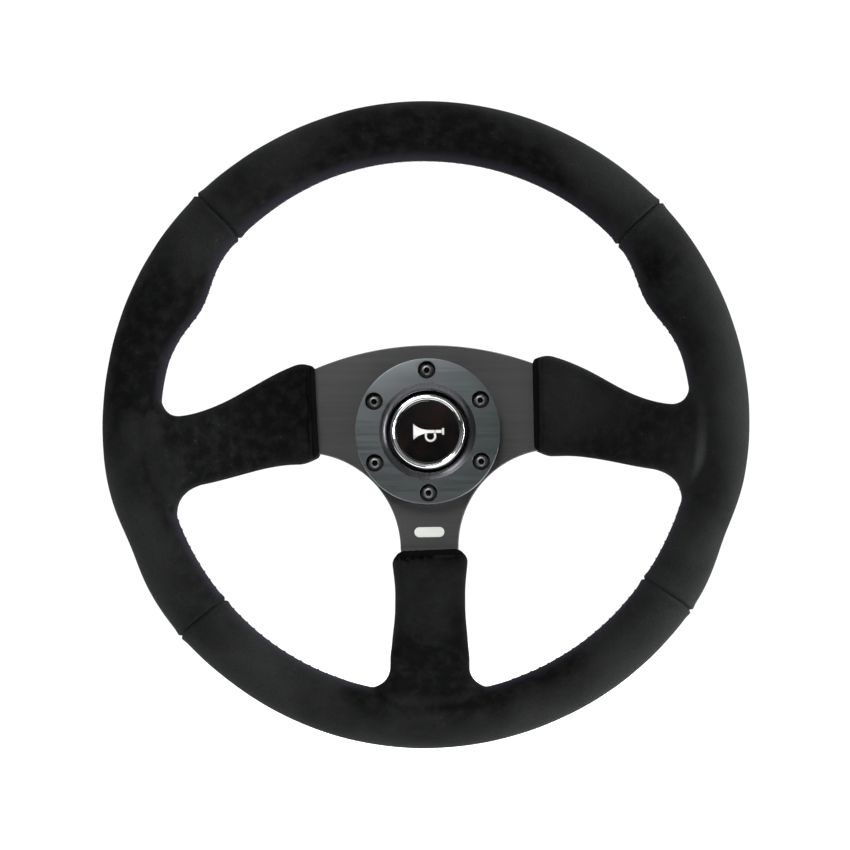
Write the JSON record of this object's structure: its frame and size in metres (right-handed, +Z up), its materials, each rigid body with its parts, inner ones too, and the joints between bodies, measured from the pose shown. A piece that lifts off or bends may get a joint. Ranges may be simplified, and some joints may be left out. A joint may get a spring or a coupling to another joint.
{
  "type": "quick release steering wheel",
  "caption": "Dished three-spoke suede steering wheel with a horn button, bolted to the wheel half of a ball-lock quick release coupler with a pull collar.",
  "frame": {"origin": "centre of the coupler's rear face, where it seats on the steering column's half of the quick release", "axes": "+Z up with the wheel straight ahead, the wheel turns about Y, +Y points away from the driver along the column, -Y faces the driver, +X is the driver's right"},
  "size_m": [0.35, 0.1023, 0.35],
  "materials": {
    "suede": "matte",
    "foam": "matte",
    "hoop_aluminium": "satin",
    "plate_anodised": "matte",
    "ring_gunmetal": "satin",
    "bolt_steel": "satin",
    "black_plastic": "matte",
    "gloss_black": "gloss",
    "chrome": "polished",
    "brass": "satin",
    "spring_steel": "satin",
    "bearing_steel": "polished",
    "coupler_anodised": "satin",
    "collar_aluminium": "satin",
    "nylon": "matte",
    "wire_red": "satin"
  },
  "bodies": {
    "wheel": {"suede_top": "suede", "suede_left": "suede", "suede_right": "suede", "suede_bottom": "suede", "rim_foam": "foam", "rim_hoop": "hoop_aluminium", "spoke_plate": "plate_anodised", "horn_ring": "ring_gunmetal", "hub_bolt_1": "bolt_steel", "hub_bolt_2": "bolt_steel", "hub_bolt_3": "bolt_steel", "hub_bolt_4": "bolt_steel", "hub_bolt_5": "bolt_steel", "hub_bolt_6": "bolt_steel", "horn_base": "black_plastic", "horn_spring": "spring_steel", "horn_fixed_contact": "brass", "horn_terminal_1": "brass", "horn_terminal_2": "brass", "horn_wire_1": "wire_red", "horn_wire_2": "wire_red", "coupler_hub": "coupler_anodised", "collar_spring": "spring_steel", "snap_ring": "bearing_steel", "contact_block": "nylon", "contact_ring_inner": "brass", "contact_ring_outer": "brass"},
    "horn_button": {"horn_cap": "black_plastic", "horn_bezel": "chrome", "horn_face": "gloss_black", "horn_moving_contact": "brass"},
    "collar": {"release_collar": "collar_aluminium"},
    "ball_1": {"lock_ball_1": "bearing_steel"},
    "ball_2": {"lock_ball_2": "bearing_steel"},
    "ball_3": {"lock_ball_3": "bearing_steel"},
    "ball_4": {"lock_ball_4": "bearing_steel"},
    "ball_5": {"lock_ball_5": "bearing_steel"},
    "ball_6": {"lock_ball_6": "bearing_steel"}
  },
  "joints": [
    {"name": "horn_press", "type": "slide", "parent": "wheel", "child": "horn_button", "axis": [0, 1, 0], "range_m": [0, 0.002], "stiffness_N_per_m": 2500, "springref_m": -0.002, "deforming": ["horn_spring"]},
    {"name": "collar_slide", "type": "slide", "parent": "wheel", "child": "collar", "axis": [0, -1, 0], "range_m": [0, 0.006], "stiffness_N_per_m": 2500, "springref_m": -0.004, "deforming": ["collar_spring"]},
    {"name": "ball_1_slide", "type": "slide", "parent": "wheel", "child": "ball_1", "axis": [0.5, 0, 0.866], "range_m": [0, 0.0014]},
    {"name": "ball_2_slide", "type": "slide", "parent": "wheel", "child": "ball_2", "axis": [-0.5, 0, 0.866], "range_m": [0, 0.0014]},
    {"name": "ball_3_slide", "type": "slide", "parent": "wheel", "child": "ball_3", "axis": [-1, 0, 0], "range_m": [0, 0.0014]},
    {"name": "ball_4_slide", "type": "slide", "parent": "wheel", "child": "ball_4", "axis": [-0.5, 0, -0.866], "range_m": [0, 0.0014]},
    {"name": "ball_5_slide", "type": "slide", "parent": "wheel", "child": "ball_5", "axis": [0.5, 0, -0.866], "range_m": [0, 0.0014]},
    {"name": "ball_6_slide", "type": "slide", "parent": "wheel", "child": "ball_6", "axis": [1, 0, 0], "range_m": [0, 0.0014]}
  ],
  "couplings": [
    {"joint": "ball_1_slide", "follows": "collar_slide", "ratio": 0.225},
    {"joint": "ball_2_slide", "follows": "collar_slide", "ratio": 0.225},
    {"joint": "ball_3_slide", "follows": "collar_slide", "ratio": 0.225},
    {"joint": "ball_4_slide", "follows": "collar_slide", "ratio": 0.225},
    {"joint": "ball_5_slide", "follows": "collar_slide", "ratio": 0.225},
    {"joint": "ball_6_slide", "follows": "collar_slide", "ratio": 0.225}
  ]
}
